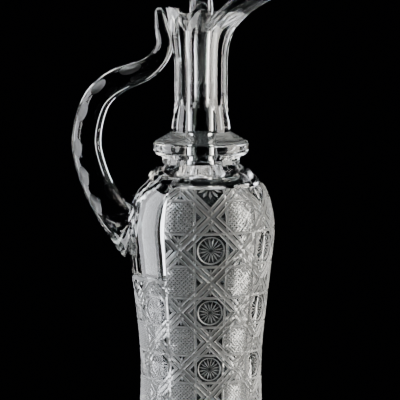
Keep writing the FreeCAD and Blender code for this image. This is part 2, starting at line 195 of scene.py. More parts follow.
# Line of the handle from its foot up, as (x, height, half height, half width).
HANDLE_LINE = (
    (-45.7, 154.5, 23.0, 18.0), (-51.0, 156.9, 15.9, 13.8), (-60.6, 165.7, 11.6, 11.2),
    (-69.9, 181.5, 10.6, 10.4), (-76.2, 198.7, 10.4, 10.2), (-78.8, 213.7, 10.2, 10.0),
    (-76.6, 229.5, 9.9, 9.7), (-71.2, 243.2, 9.4, 9.2), (-63.0, 252.0, 8.9, 8.7),
    (-52.8, 258.2, 8.3, 8.2), (-38.3, 263.7, 7.4, 7.3), (-29.4, 271.0, 6.5, 6.4),
    (-24.7, 281.0, 5.8, 5.7), (-26.9, 293.0, 4.7, 4.6), (-28.4, 302.5, 3.2, 3.1), (-28.8, 305.9, 1.3, 1.2),
)
HANDLE_STEPS = 6
HANDLE_SIDES = 48
HANDLE_TIP = 0.5
HANDLE_GAP = 0.06
LOOP_CENTRE = (-40, 205)
# Thumb cuts as (x, height); they face this far outward and sideways.
THUMB_CUTS = ((-74.7, 171.0), (-80.1, 190.0), (-83.0, 212.0), (-78.5, 236.0), (-67.0, 252.0), (-47.0, 265.0))
THUMB_OUTWARD = 0.55
THUMB_SIDEWAYS = 0.84
# Rounded cutting wheel, half sizes across, along and into the handle.
THUMB_WHEEL = (14.0, 17.5, 10.0)
THUMB_DEPTH = 1.1

# Stopper from its tip up, as (radius, height, finish); the cut levels are eight-sided.
STOPPER_TOP = 362.0
STOPPER = (
    (6.6, 255.0, SEAT), (7.16, 255.24, SEAT), (7.4, 255.8, SEAT), (8.18, 273.0, SEAT), (9.0, 291.0, SEAT),
    (8.0, 293.0, BLOWN), (8.0, 308.0, BLOWN),
    (8.0, 322.0, CUT), (20.0, 334.0, CUT), (20.0, 346.0, CUT), (9.0, STOPPER_TOP, CUT),
)
STOPPER_SIDES = 64

CRYSTAL_IOR = 1.56


def rounded(corners, steps=10):
    """Outline through the corners, each rounded corner replaced by an arc."""
    outline = []
    for index, (x, y, rounding) in enumerate(corners):
        here = Vector((x, y))
        if not rounding:
            outline.append(here)
            continue
        before = (Vector(corners[index - 1][:2]) - here).normalized()
        after = (Vector(corners[index + 1][:2]) - here).normalized()
        half = before.angle(after) / 2
        centre = here + (before + after).normalized() * (rounding / math.sin(half))
        start = here + before * (rounding / math.tan(half)) - centre
        end = here + after * (rounding / math.tan(half)) - centre
        for step in range(steps + 1):
            share = step / steps
            outline.append(centre + (start.lerp(end, share)).normalized() * rounding)
    return outline


def at(table, key):
    """Straight interpolation in rows of (key, values...)."""
    low = 0
    high = len(table) - 1
    while high - low > 1:
        middle = (low + high) // 2
        if table[middle][0] <= key:
            low = middle
        else:
            high = middle
    span = table[high][0] - table[low][0]
    share = (key - table[low][0]) / span if span else 0.0
    return [a + (b - a) * share for a, b in zip(table[low][1:], table[high][1:])]


def body_course():
    """Rows of (way up the cut pattern, radius, height, outward r, outward z) along the blown outside.

    The way up is stretched so that a panel keeps its proportions where the body narrows.
    """
    outline = rounded(OUTSIDE)
    fine = []
    for start, end in zip(outline, outline[1:]):
        pieces = max(1, math.ceil((end - start).length / COURSE_STEP))
        for piece in range(pieces):
            fine.append(start.lerp(end, piece / pieces))
    fine.append(outline[-1])
    rows = []
    way = 0.0
    for index, spot in enumerate(fine):
        ahead = fine[min(index + 1, len(fine) - 1)] - fine[max(index - 1, 0)]
        facing = Vector((ahead.y, -ahead.x)).normalized()
        if index and spot.x > NEAR_AXIS:
            way += (spot - fine[index - 1]).length * REACH / spot.x
        rows.append((way, spot.x, spot.y, facing.x, facing.y))
    foot = next(row[0] for row in rows if row[2] >= CUT_FOOT)
    return [(row[0] - foot, *row[1:]) for row in rows]


COURSE = body_course()
PATTERN_TOP = next(row[0] for row in COURSE if row[2] >= CUT_TOP)
PERIOD = PATTERN_TOP / ROWS
HALF_PERIOD = PERIOD / 2
RESERVE_FOOT = PATTERN_TOP - RESERVE_ROWS * PERIOD

# Outward direction of the long diagonals, and how far they and their neighbours pass from a panel's centre.
ACROSS = Vector((HALF_PERIOD, PANEL_WIDTH)).normalized()
LATTICE = ACROSS.y * HALF_PERIOD
LATTICE_INNER = LATTICE - LATTICE_STEP
LATTICE_OUTER = LATTICE + LATTICE_STEP


def on_body(angle, way, depth):
    """Point of the body's outside, sunk by a cut; the angle runs from the front towards the lip."""
    r, z, out_r, out_z = at(COURSE, way)
    sink = depth * r / REACH
    r -= out_r * sink
    z -= out_z * sink
    return Vector((r * math.sin(angle), -r * math.cos(angle), z)) * MM


def round_ring(r, z, turns):
    """Level ring of points at the given angles."""
    return [Vector((r * math.sin(turn), -r * math.cos(turn), z)) * MM for turn in turns]


def full_turn(count):
    return [2 * math.pi * index / count for index in range(count)]


def new_object(name, verts, faces):
    mesh = bpy.data.meshes.new(name)
    mesh.from_pydata(verts, [], faces)
    obj = bpy.data.objects.new(name, mesh)
    bpy.context.scene.collection.objects.link(obj)
    return obj


def only(obj):
    """Makes this the one selected and active object."""
    bpy.ops.object.select_all(action="DESELECT")
    obj.select_set(True)
    bpy.context.view_layer.objects.active = obj


def cut_with(target, cutter, operation="DIFFERENCE"):
    """Applies a boolean to the target and removes the cutter."""
    only(target)
    modifier = target.modifiers.new("cut", "BOOLEAN")
    modifier.operation = operation
    modifier.solver = "EXACT"
    modifier.object = cutter
    bpy.ops.object.modifier_apply(modifier=modifier.name)
    bpy.data.objects.remove(cutter)


def outward(obj):
    """Turns all faces outward."""
    only(obj)
    bpy.ops.object.mode_set(mode="EDIT")
    bpy.ops.mesh.select_all(action="SELECT")
    bpy.ops.mesh.normals_make_consistent(inside=False)
    bpy.ops.object.mode_set(mode="OBJECT")


def block_between(name, first, last):
    """Closed block between two outlines that have the same number of points."""
    count = len(first)
    faces = [tuple(range(count)), tuple(range(count, 2 * count))]
    for index in range(count):
        after = (index + 1) % count
        faces.append((index, after, count + after, count + index))
    obj = new_object(name, first + last, faces)
    outward(obj)
    return obj


def prism(points, low, high):
    """Upright block over a flat outline."""
    return block_between("block", [(x, y, low) for x, y in points], [(x, y, high) for x, y in points])


def bar(start, end, profile):
    """Wheel cut along a line: a profile of (sideways, height) swept from start to end."""
    start = Vector(start)
    end = Vector(end)
    along = (end - start).normalized()
    side = Vector((-along.y, along.x))
    outlines = []
    for spot in (start, end):
        outlines.append([(*(spot + side * across), height) for across, height in profile])
    return block_between("wheel", *outlines)


def mitre(panel, start, end, depth, half):
    """Straight V-shaped cut."""
    lift = 1 + CLEAR / depth
    cut_with(panel, bar(start, end, [(-half * lift, CLEAR), (0, -depth), (half * lift, CLEAR)]))


def split(panel, start, end, depth, half, level=0.0):
    """Short V-shaped cut that runs out to a point at both ends."""
    start = Vector(start)
    end = Vector(end)
    along = (end - start).normalized()
    side = Vector((-along.y, along.x)) * half
    wide = start.lerp(end, WIDEST)
    ring = [start, wide - side, end, wide + side]
    verts = [(*spot, level + SPLIT_CLEAR) for spot in ring] + [(*spot, level) for spot in ring]
    verts.append((*wide, level - depth))
    faces = [(0, 1, 2, 3)]
    for index in range(4):
        after = (index + 1) % 4
        faces.append((index, after, 4 + after, 4 + index))
        faces.append((4 + index, 4 + after, 8))
    cutter = new_object("wheel", verts, faces)
    outward(cutter)
    cut_with(panel, cutter)


def borders(panel, low, high, edges, deep_side):
    """Upright cuts along both sides, and deep cuts along the listed ends."""
    for side in (1, -1):
        cut = BORDER_CUT if side == deep_side else COLUMN_CUT
        mitre(panel, (side * HALF_WIDTH, low - OVERRUN), (side * HALF_WIDTH, high + OVERRUN), *cut)
    for end in edges:
        mitre(panel, (-HALF_WIDTH - OVERRUN, end), (HALF_WIDTH + OVERRUN, end), *BORDER_CUT)


def diagonal(panel, far, start_u, end_u, depth, half):
    """The four mirrored cuts that pass the panel's centre at one distance."""
    for u_way in (1, -1):
        for v_way in (1, -1):
            ends = []
            for u in (start_u, end_u):
                ends.append((u_way * u, v_way * (far - ACROSS.x * u) / ACROSS.y))
            mitre(panel, *ends, depth, half)


def lattice(panel):
    """The long diagonals, each with a finer cut along either side."""
    end = HALF_WIDTH + DIAGONAL_OVERRUN
    diagonal(panel, LATTICE, -CROSSING, end, *DIAGONAL_CUT)
    meet = (LATTICE - LATTICE_INNER) / (2 * ACROSS.x)
    diagonal(panel, LATTICE_INNER, -meet, end, *FINE_CUT)
    past = (LATTICE_OUTER - ACROSS.y * (HALF_PERIOD + LEVEL_OVERRUN)) / ACROSS.x
    diagonal(panel, LATTICE_OUTER, past, end, *FINE_CUT)


def tips(panel):
    """Level cuts, and three small pointed cuts at the panel's top and bottom."""
    for v in (HALF_PERIOD / 2, -HALF_PERIOD / 2):
        mitre(panel, (-HALF_WIDTH - LEVEL_OVERRUN, v), (HALF_WIDTH + LEVEL_OVERRUN, v), *LEVEL_CUT)
    for sense in (1, -1):
        split(panel, (0, sense * TIP_START), (0, sense * TIP_END), *TIP_CUT)
        for u in (TIP_SPREAD, -TIP_SPREAD):
            split(panel, (u, sense * TIP_START), (u * TIP_LEAN, sense * SIDE_TIP_END), *SIDE_TIP_CUT)


def hatch_field():
    """Eight-sided outline of a hatched field, clear of the cuts round it."""
    wide = HALF_WIDTH - HATCH_SIDE_GAP
    corner = LATTICE_INNER - HATCH_DIAGONAL_GAP
    at_side = (corner - ACROSS.x * wide) / ACROSS.y
    at_top = (corner - ACROSS.y * HATCH_HALF_HEIGHT) / ACROSS.x
    quarter = [(wide, at_side), (at_top, HATCH_HALF_HEIGHT)]
    upper = quarter + [(-u, v) for u, v in reversed(quarter)]
    return upper + [(-u, -v) for u, v in upper]


def hatch(panel):
    """Two sets of fine V cuts that cross and leave small square lands between them.

    They are a little coarser than they would be on the glass, so that they show.
    """
    lift = HATCH_HALF * (1 + HATCH_LIFT / HATCH_DEPTH)
    end = HATCH_TEETH * HATCH_PITCH
    for way in (1, -1):
        profile = [(-end, CLEAR), (-end, HATCH_LIFT)]
        for tooth in range(-HATCH_TEETH, HATCH_TEETH):
            middle = (tooth + 0.5) * HATCH_PITCH
            profile += [(middle - lift, HATCH_LIFT), (middle, -HATCH_DEPTH), (middle + lift, HATCH_LIFT)]
        profile += [(end, HATCH_LIFT), (end, CLEAR)]
        comb = bar((-HATCH_RUN, -HATCH_RUN * way), (HATCH_RUN, HATCH_RUN * way), profile)
        cut_with(comb, prism(hatch_field(), -HATCH_BLOCK, HATCH_BLOCK), "INTERSECT")
        cut_with(panel, comb)


def star(panel):
    """Sunk disc with rays."""
    bpy.ops.mesh.primitive_cone_add(
        vertices=32,
        radius1=STAR_FLOOR,
        radius2=STAR_WHEEL,
        depth=CLEAR + STAR_DEPTH,
        location=(0, 0, (CLEAR - STAR_DEPTH) / 2),
    )
    cut_with(panel, bpy.context.object)
    for ray in range(STAR_RAYS):
        angle = 2 * math.pi * (ray + 0.5) / STAR_RAYS
        way = Vector((math.cos(angle), math.sin(angle)))
        split(panel, way * STAR_HUB, way * STAR_TIP, *RAY_CUT, level=-STAR_DEPTH)


def fan(panel, sense):
    """Pointed cuts that spread from the middle of a plain edge."""
    for lean in FAN_LEANS:
        angle = math.radians(lean)
        way = Vector((math.sin(angle), sense * math.cos(angle)))
        split(panel, way * FAN_START, way * FAN_END, *FAN_CUT)


def hidden(face, low, high):
    """Whether a face lies on the sides, an end or the underside of a flat panel."""
    spots = [vert.co for vert in face.verts]
    on_sides = all(abs(abs(spot.x) - HALF_WIDTH) < NEAR for spot in spots)
    on_low = all(abs(spot.y - low) < NEAR for spot in spots)
    on_high = all(abs(spot.y - high) < NEAR for spot in spots)
    under = all(abs(spot.z + PANEL_THICKNESS) < NEAR for spot in spots)
    return on_sides or on_low or on_high or under


def cut_face(panel, low, high):
    """The cut face of a flat panel as (points, faces, finishes), divided finely enough to be bent."""
    work = bmesh.new()
    work.from_mesh(panel.data)
    bpy.data.objects.remove(panel)
    spare = [face for face in work.faces if hidden(face, low, high)]
    bmesh.ops.delete(work, geom=spare, context="FACES")
    planes = [((HALF_WIDTH * share, 0, 0), (1, 0, 0)) for share in (-0.5, 0, 0.5)]
    steps = round((high - low) / (PERIOD / PER_ROW))
    for step in range(1, steps):
        planes.append(((0, low + step * PERIOD / PER_ROW, 0), (0, 1, 0)))
    for place, normal in planes:
        everything = work.verts[:] + work.edges[:] + work.faces[:]
        bmesh.ops.bisect_plane(work, geom=everything, dist=NEAR, plane_co=place, plane_no=normal)
    bmesh.ops.remove_doubles(work, verts=work.verts, dist=10 * NEAR)
    bmesh.ops.dissolve_degenerate(work, edges=work.edges, dist=NEAR)
    bmesh.ops.triangulate(work, faces=work.faces)
    work.verts.index_update()
    work.normal_update()
    points = [vert.co.copy() for vert in work.verts]
    faces = [tuple(vert.index for vert in face.verts) for face in work.faces]
    finishes = [CUT if face.normal.z > LEVEL_FACE else WHEEL for face in work.faces]
    work.free()
    return points, faces, finishes


def panel_mesh(kind, low, high, edges, deep_side):
    """Cut face of one flat panel, its centre at the origin and its uncut level at height 0.

    It runs from low to high; edges lists the ends that get a deep border cut, and deep_side the side.
    """
    outline = [(-HALF_WIDTH, low), (HALF_WIDTH, low), (HALF_WIDTH, high), (-HALF_WIDTH, high)]
    panel = prism(outline, -PANEL_THICKNESS, 0)
    borders(panel, low, high, edges, deep_side)
    lattice(panel)
    if kind == "fan":
        fan(panel, -1 if high in edges else 1)
    else:
        tips(panel)
        if kind == "hatch":
            hatch(panel)
        else:
            star(panel)
    return cut_face(panel, low, high)


class Skin:
    """Points and faces of one closed surface, gathered piece by piece."""

    def __init__(self):
        self.points = []
        self.faces = []
        self.finish = []

    def add(self, points, faces, finishes):
        start = len(self.points)
        self.points += points
        self.faces += [tuple(start + corner for corner in face) for face in faces]
        self.finish += finishes

    def ring(self, points):
        start = len(self.points)
        self.points += points
        return list(range(start, len(self.points)))

    def strip(self, lower, upper, finish):
        """Faces between two rings with the same number of points."""
        count = len(lower)
        for index in range(count):
            after = (index + 1) % count
            self.faces.append((lower[index], lower[after], upper[after], upper[index]))
            self.finish.append(finish)

    def grow(self, below, points, finish):
        """A new ring, joined to the one below it."""
        above = self.ring(points)
        self.strip(below, above, finish)
        return above

    def zip(self, lower, lower_angles, upper, upper_angles, finish):
        """Triangles between two rings with different numbers of points; both start at the same angle."""
        full = 2 * math.pi
        lower_turns = list(lower_angles) + [lower_angles[0] + full]
        upper_turns = list(upper_angles) + [upper_angles[0] + full]
        i = 0
        j = 0
        while i < len(lower) or j < len(upper):
            here = (lower[i % len(lower)], upper[j % len(upper)])
            step_lower = j == len(upper) or (i < len(lower) and lower_turns[i + 1] <= upper_turns[j + 1])
            if step_lower:
                i += 1
                self.faces.append((here[0], lower[i % len(lower)], here[1]))
            else:
                j += 1
                self.faces.append((here[0], upper[j % len(upper)], here[1]))
            self.finish.append(finish)

    def cap(self, ring, centre, finish):
        """Triangles from a ring to a point in its middle."""
        middle = len(self.points)
        self.points.append(centre)
        for index, corner in enumerate(ring):
            self.faces.append((corner, ring[(index + 1) % len(ring)], middle))
            self.finish.append(finish)


def column_angle(column):
    return math.pi / 2 - 2 * math.pi * column / COLUMNS


def lay_panels(skin):
    """The cut panels laid round the body, with the plain reserve under the handle left out."""
    ready = {}

    def lay(column, centre, kind, low, high, edges=()):
        key = (kind, low, high, edges, DEEP_SIDES.get(column, 0))
        if key not in ready:
            ready[key] = panel_mesh(*key)
        points, faces, finishes = ready[key]
        turn = column_angle(column)
        placed = [on_body(turn + spot.x / REACH, centre + spot.y, -spot.z) for spot in points]
        skin.add(placed, faces, finishes)

    full = (-HALF_PERIOD, HALF_PERIOD)
    for column in range(COLUMNS):
        plain = column in RESERVE
        if column % 2 == 0:
            rows = [0.5, 1.5, 2.5, 3.5]
            if plain:
                lay(column, RESERVE_FOOT, "fan", -HALF_PERIOD, 0.0, (0.0,))
                rows = rows[2:]
            for row in rows:
                edges = (HALF_PERIOD,) if row == 0.5 else ()
                lay(column, PATTERN_TOP - row * PERIOD, "hatch", *full, edges)
            lay(column, 0.0, "fan", 0.0, HALF_PERIOD, (0.0,))
        else:
            rows = [1.0, 2.0, 3.0, 4.0]
            if plain:
                rows = rows[1:]
            else:
                lay(column, PATTERN_TOP, "fan", -HALF_PERIOD, 0.0, (0.0,))
            for row in rows:
                edges = ()
                if row == 4.0:
                    edges = (-HALF_PERIOD,)
                elif plain and row == 2.0:
                    edges = (HALF_PERIOD,)
                lay(column, PATTERN_TOP - row * PERIOD, "star", *full, edges)


def reserve_angles():
    """Angles across the plain reserve, from its far side to its near side, with how deep its border lies."""
    low = column_angle(RESERVE[-1]) - PANEL_ANGLE / 2
    high = column_angle(RESERVE[0]) + PANEL_ANGLE / 2
    slope = BORDER_HALF / REACH
    count = PER_COLUMN * len(RESERVE)
    marks = [(low, BORDER_DEPTH), (low + slope, 0.0)]
    marks += [(low + (high - low) * step / count, 0.0) for step in range(1, count)]
    marks += [(high - slope, 0.0), (high, BORDER_DEPTH)]
    return marks


def lay_reserve(skin):
    """Plain patch of the blown wall that the handle's foot stands on, sunk to the cutting at its borders."""
    marks = reserve_angles()
    ways = [(RESERVE_FOOT, BORDER_DEPTH), (RESERVE_FOOT + BORDER_HALF, 0.0)]
    count = round(PER_ROW * RESERVE_ROWS)
    ways += [(RESERVE_FOOT + step * PERIOD / PER_ROW, 0.0) for step in range(1, count + 1)]
    rows = []
    for way, way_depth in ways:
        points = [on_body(angle, way, max(depth, way_depth)) for angle, depth in marks]
        rows.append(skin.ring(points))
    last = len(marks) - 2
    for level, (lower, upper) in enumerate(zip(rows, rows[1:])):
        for index in range(len(marks) - 1):
            a, b, c, d = lower[index], lower[index + 1], upper[index + 1], upper[index]
            # the two lower corners are mitred
            if level == 0 and index == 0:
                faces = [(a, b, c), (a, c, d)]
            elif level == 0 and index == last:
                faces = [(a, b, d), (b, c, d)]
            else:
                faces = [(a, b, c, d)]
            skin.faces += faces
            skin.finish += [BLOWN] * len(faces)


def border_marks():
    """Angles round the top of the cutting with the depth of its border there, in rising order."""
    marks = reserve_angles()
    step = PANEL_ANGLE / PER_COLUMN
    first = marks[-1][0]
    count = PER_COLUMN * (COLUMNS - len(RESERVE))
    return marks + [(first + step * index, BORDER_DEPTH) for index in range(1, count)]


def outside_radius(z):
    """Radius of the blown neck."""
    rows = [(row[2], row[1]) for row in COURSE if row[2] >= NECK_FOOT]
    return at(rows, z)[0] if z < rows[-1][0] else rows[-1][1]


def mouth_reach(z):
    """Reach of the mouth's outside towards the lip, the handle and each side."""
    if z <= MOUTH_START:
        r = outside_radius(z)
        return r, r, r
    share = (z - MOUTH_START) / MOUTH_HEIGHT
    nose = NECK_RADIUS + LIP_REACH * share ** LIP_POWER
    back = NECK_RADIUS + BACK_FLARE * share ** FLARE_POWER
    side = NECK_RADIUS + SIDE_FLARE * share ** FLARE_POWER
    return nose, back, side


def hollow_reach(z):
    """Reach of the mouth's hollow: the outside less the lip's wall, closing to the ground seat."""
    opened = at(FUNNEL, (z - SEAT_TOP) / (MOUTH_TOP - SEAT_TOP))[0]
    share = (z - MOUTH_START) / MOUTH_HEIGHT
    lean = LIP_POWER * LIP_REACH * share ** (LIP_POWER - 1) / MOUTH_HEIGHT
    walls = (LIP_WALL * math.sqrt(1 + lean * lean), LIP_WALL, LIP_WALL)
    return [SEAT_RADIUS * (1 - opened) + (out - wall) * opened for out, wall in zip(mouth_reach(z), walls)]


def level_point(reaches, angle, z):
    """Point on a level section that has these reaches."""
    nose, back, side = reaches
    x = (nose - back) / 2 + (nose + back) / 2 * math.sin(angle)
    return Vector((x, -side * math.cos(angle), z)) * MM


RIM_TABLE = [tuple(spot) for spot in rounded(RIM)]


def rim_height(reach_at, angle):
    """Height at which a wall of the mouth meets the scalloped rim."""
    low = 285.0
    high = 326.9
    for _ in range(30):
        z = (low + high) / 2
        x = level_point(reach_at(z), angle, z).x / MM
        if z < at(RIM_TABLE, x)[0]:
            low = z
        else:
            high = z
    return low


def flute_depth(index, z):
    """Depth of the neck's flutes: hollow cuts with rounded ends that meet in sharp ridges."""
    from_middle = abs(2 * (index % PER_FLUTE) / PER_FLUTE - 1)
    grown = min(1.0, max(0.0, (z - FLUTE_FOOT) / FLUTE_RUN_OUT))
    depth = FLUTE_DEPTH * max(0.0, grown ** FLUTE_ROUND - from_middle ** 2)
    if index // PER_FLUTE == FLUTES // 2 and z < BACK_FLUTE_FOOT + BACK_FLUTE_RUN_OUT:
        depth *= max(0.0, (z - BACK_FLUTE_FOOT) / BACK_FLUTE_RUN_OUT)
    return depth


NECK_ANGLES = [math.pi / 2 + 2 * math.pi * index / AROUND for index in range(AROUND)]


def neck_point(index, z, row):
    """Outside of the fluted neck and mouth; the ridges beside the lip are notched."""
    depth = flute_depth(index, z)
    on_ridge = index % PER_FLUTE == 0 and index // PER_FLUTE in NOTCHED
    if on_ridge and z > NOTCH_FOOT and row % 2:
        depth += NOTCH_DEPTH
    reaches = [reach - depth for reach in mouth_reach(z)]
    return level_point(reaches, NECK_ANGLES[index], z)


def lay_dome(skin, marks):
    """Blown dome between the cutting and the neck; returns its last ring, which the ring of glass hides."""
    angles = [angle for angle, _ in marks]
    below = skin.ring([on_body(angle, PATTERN_TOP, depth) for angle, depth in marks])
    start = PATTERN_TOP + BORDER_HALF
    end = next(row[0] for row in COURSE if row[1] <= RING_SEAT and row[2] > CUT_TOP)
    for step in range(DOME_STEPS + 1):
        way = start + (end - start) * step / DOME_STEPS
        below = skin.grow(below, [on_body(angle, way, 0.0) for angle in angles], BLOWN)
    for z in (NECK_FOOT, JOINT_HEIGHT):
        below = skin.grow(below, round_ring(COLLAR_RADIUS, z, angles), JOINT)
    return below


def from_lip(angle):
    """How far an angle lies from the lip, either way round."""
    return abs((angle - math.pi / 2 + math.pi) % (2 * math.pi) - math.pi)


def join_neck(skin, below, angles):
    """First ring of the neck, joined to the dome's last, which has other angles."""
    above = skin.ring([neck_point(index, FIRST_NECK_HEIGHT, 0) for index in range(AROUND)])
    first = min(range(len(angles)), key=lambda mark: from_lip(angles[mark]))
    lower = below[first:] + below[:first]
    turned = angles[first:] + [angle + 2 * math.pi for angle in angles[:first]]
    shift = round((NECK_ANGLES[0] - turned[0]) / (2 * math.pi)) * 2 * math.pi
    skin.zip(lower, [angle + shift for angle in turned], above, NECK_ANGLES, JOINT)
    return above


def lay_neck(skin, below):
    """Fluted neck and mouth, each column of points up to its own height of the rim."""
    columns = range(AROUND)
    rims = [rim_height(mouth_reach, angle) for angle in NECK_ANGLES]
    for row, z in enumerate(NECK_HEIGHTS):
        points = [neck_point(index, z, 0) for index in columns]
        below = skin.grow(below, points, JOINT if row == 0 else CUT)
    start = NECK_HEIGHTS[-1]
    for row in range(1, NECK_ROWS + 1):
        heights = [start + (rim - start) * row / NECK_ROWS for rim in rims]
        points = [neck_point(index, heights[index], row) for index in columns]
        below = skin.grow(below, points, CUT)
    return below


def lay_funnel(skin, below):
    """Rounded rim and the funnel inside it, down to the ground seat."""
    inner = [rim_height(hollow_reach, angle) for angle in NECK_ANGLES]
    tops = [level_point(hollow_reach(z), angle, z) for z, angle in zip(inner, NECK_ANGLES)]
    crest = []
    for corner, top in zip(below, tops):
        middle = (skin.points[corner] + top) / 2
        middle.z += RIM_CROWN * MM
        crest.append(middle)
    below = skin.grow(below, crest, CUT)
    for row in range(FUNNEL_ROWS + 1):
        points = []
        for angle, top in zip(NECK_ANGLES, inner):
            z = top + (SEAT_TOP - top) * row / FUNNEL_ROWS
            points.append(level_point(hollow_reach(z), angle, z))
        below = skin.grow(below, points, BLOWN)
    return below


def lay_hollow(skin, below):
    """Ground seat, bore and hollow body, from the top down."""
    hollow = rounded(HOLLOW)[::-1]
    for start, end in zip(hollow, hollow[1:]):
        pieces = max(1, math.ceil((end - start).length / HOLLOW_STEP))
        finish = SEAT if start.y > SEAT_FOOT else SHADED_INSIDE
        # the hollow's inner wall gets the grey glass: painted shade inside the body
        for piece in range(1, pieces + 1):
            spot = start.lerp(end, piece / pieces)
            if spot.x > NEAR_AXIS:
                below = skin.grow(below, round_ring(spot.x, spot.y, NECK_ANGLES), finish)
    skin.cap(below, Vector((0, 0, BASE)) * MM, SHADED_INSIDE)


def lay_foot(skin):
    """Foot, and the star cut under the base, from the lowest cuts down."""
    step = PANEL_ANGLE / PER_COLUMN
    edge = column_angle(0) - PANEL_ANGLE / 2
    turns = [edge + step * index for index in range(PER_COLUMN * COLUMNS)]
    above = skin.ring([on_body(angle, 0.0, BORDER_DEPTH) for angle in turns])
    foot = [spot for spot in rounded(OUTSIDE) if spot.y < FOOT_TOP and spot.x > NEAR_AXIS][::-1]
    for spot in [Vector(at(COURSE, -BORDER_HALF)[:2])] + foot:
        below = skin.ring(round_ring(spot.x, spot.y, turns))
        skin.strip(below, above, BLOWN)
        above = below
    for r, ridge, cut in BASE_STAR:
        points = []
        for index, turn in enumerate(turns):
            points += round_ring(r, cut if index % 2 else ridge, [turn])
        below = skin.ring(points)
        skin.strip(below, above, CUT)
        above = below
    skin.cap(above, Vector((0, 0, BASE_STAR_MIDDLE)) * MM, CUT)


def finish_piece(obj, materials, crisp_angle):
    """Welds the seams, turns the faces outward and shades the crisp edges crisp."""
    for material in materials:
        obj.data.materials.append(material)
    only(obj)
    bpy.ops.object.mode_set(mode="EDIT")
    bpy.ops.mesh.select_all(action="SELECT")
    bpy.ops.mesh.remove_doubles(threshold=4e-6)
    bpy.ops.mesh.fill_holes(sides=4)
    bpy.ops.mesh.normals_make_consistent(inside=False)
    bpy.ops.object.mode_set(mode="OBJECT")
    bpy.ops.object.shade_smooth_by_angle(angle=math.radians(crisp_angle))


def make_vessel(materials):
    """The blown and cut body, neck and mouth with their hollow, as one closed skin."""
    skin = Skin()
    lay_panels(skin)
    lay_reserve(skin)
    marks = border_marks()
    ring = lay_dome(skin, marks)
    ring = join_neck(skin, ring, [angle for angle, _ in marks])
    ring = lay_neck(skin, ring)
    ring = lay_funnel(skin, ring)
    lay_hollow(skin, ring)
    lay_foot(skin)
    obj = new_object("cut_vessel", skin.points, skin.faces)
    obj.data.polygons.foreach_set("material_index", skin.finish)
    finish_piece(obj, materials, crisp_angle=14)
    return obj


def make_ring(materials):
    """Turned collar of glass with soft edges."""
    outline = rounded(RING, 5)
    count = len(outline)
    obj = new_object("ring_of_neck", [(spot.x * MM, 0, spot.y * MM) for spot in outline], [])
    obj.data.edges.add(count)
    for index in range(count):
        obj.data.edges[index].vertices = (index, (index + 1) % count)
    only(obj)
    bpy.ops.object.mode_set(mode="EDIT")
    bpy.ops.mesh.select_all(action="SELECT")
    bpy.ops.mesh.spin(steps=96, angle=2 * math.pi, center=(0, 0, 0), axis=(0, 0, 1))
    bpy.ops.mesh.select_all(action="SELECT")
    bpy.ops.mesh.remove_doubles(threshold=1e-6)
    bpy.ops.mesh.normals_make_consistent(inside=False)
    bpy.ops.object.mode_set(mode="OBJECT")
    finish_piece(obj, materials, crisp_angle=20)
    margin = 0.1
    for face in obj.data.polygons:
        spots = [obj.data.vertices[corner].co / MM for corner in face.vertices]
        bore = all(spot.xy.length < COLLAR_RADIUS + margin for spot in spots)
        low = all(spot.z < NECK_FOOT + margin for spot in spots)
        seat = low and all(spot.xy.length < RING_SEAT + margin for spot in spots)
        upright = abs(face.normal.z) < 0.3
        face.material_index = JOINT if bore or (seat and not upright) else BLOWN
    return obj


def smooth_line(stations, steps):
    """Finer stations on a smooth line through the given ones."""
    fine = []
    last = len(stations) - 1
    for index in range(last):
        before = Vector(stations[max(index - 1, 0)])
        here = Vector(stations[index])
        after = Vector(stations[index + 1])
        beyond = Vector(stations[min(index + 2, last)])
        for step in range(steps):
            t = step / steps
            spot = 2 * here + (after - before) * t
            spot += (2 * before - 5 * here + 4 * after - beyond) * t * t
            spot += (3 * here - before - 3 * after + beyond) * t ** 3
            fine.append(spot / 2)
    fine.append(Vector(stations[last]))
    return fine


def line_way(line, index):
    """Direction of the handle's line at a station."""
    ahead = line[min(index + 1, len(line) - 1)]
    behind = line[max(index - 1, 0)]
    return Vector((ahead[0] - behind[0], 0, ahead[1] - behind[1])).normalized()


def handle_rod(line):
    """The drawn rod along its line, closed at both ends."""
    sideways = Vector((0, 1, 0))
    skin = Skin()
    below = None
    for index, (x, z, tall, wide) in enumerate(line):
        middle = Vector((x, 0, z))
        out = sideways.cross(line_way(line, index))
        points = []
        for angle in full_turn(HANDLE_SIDES):
            spot = middle + out * tall * math.cos(angle) + sideways * wide * math.sin(angle)
            points.append(spot * MM)
        if below is None:
            below = skin.ring(points)
            skin.cap(below, middle * MM, BLOWN)
        else:
            below = skin.grow(below, points, BLOWN)
    tip = line[-1]
    skin.cap(below, Vector((tip[0], 0, tip[1] + HANDLE_TIP)) * MM, BLOWN)
    obj = new_object("cut_handle", skin.points, skin.faces)
    outward(obj)
    return obj


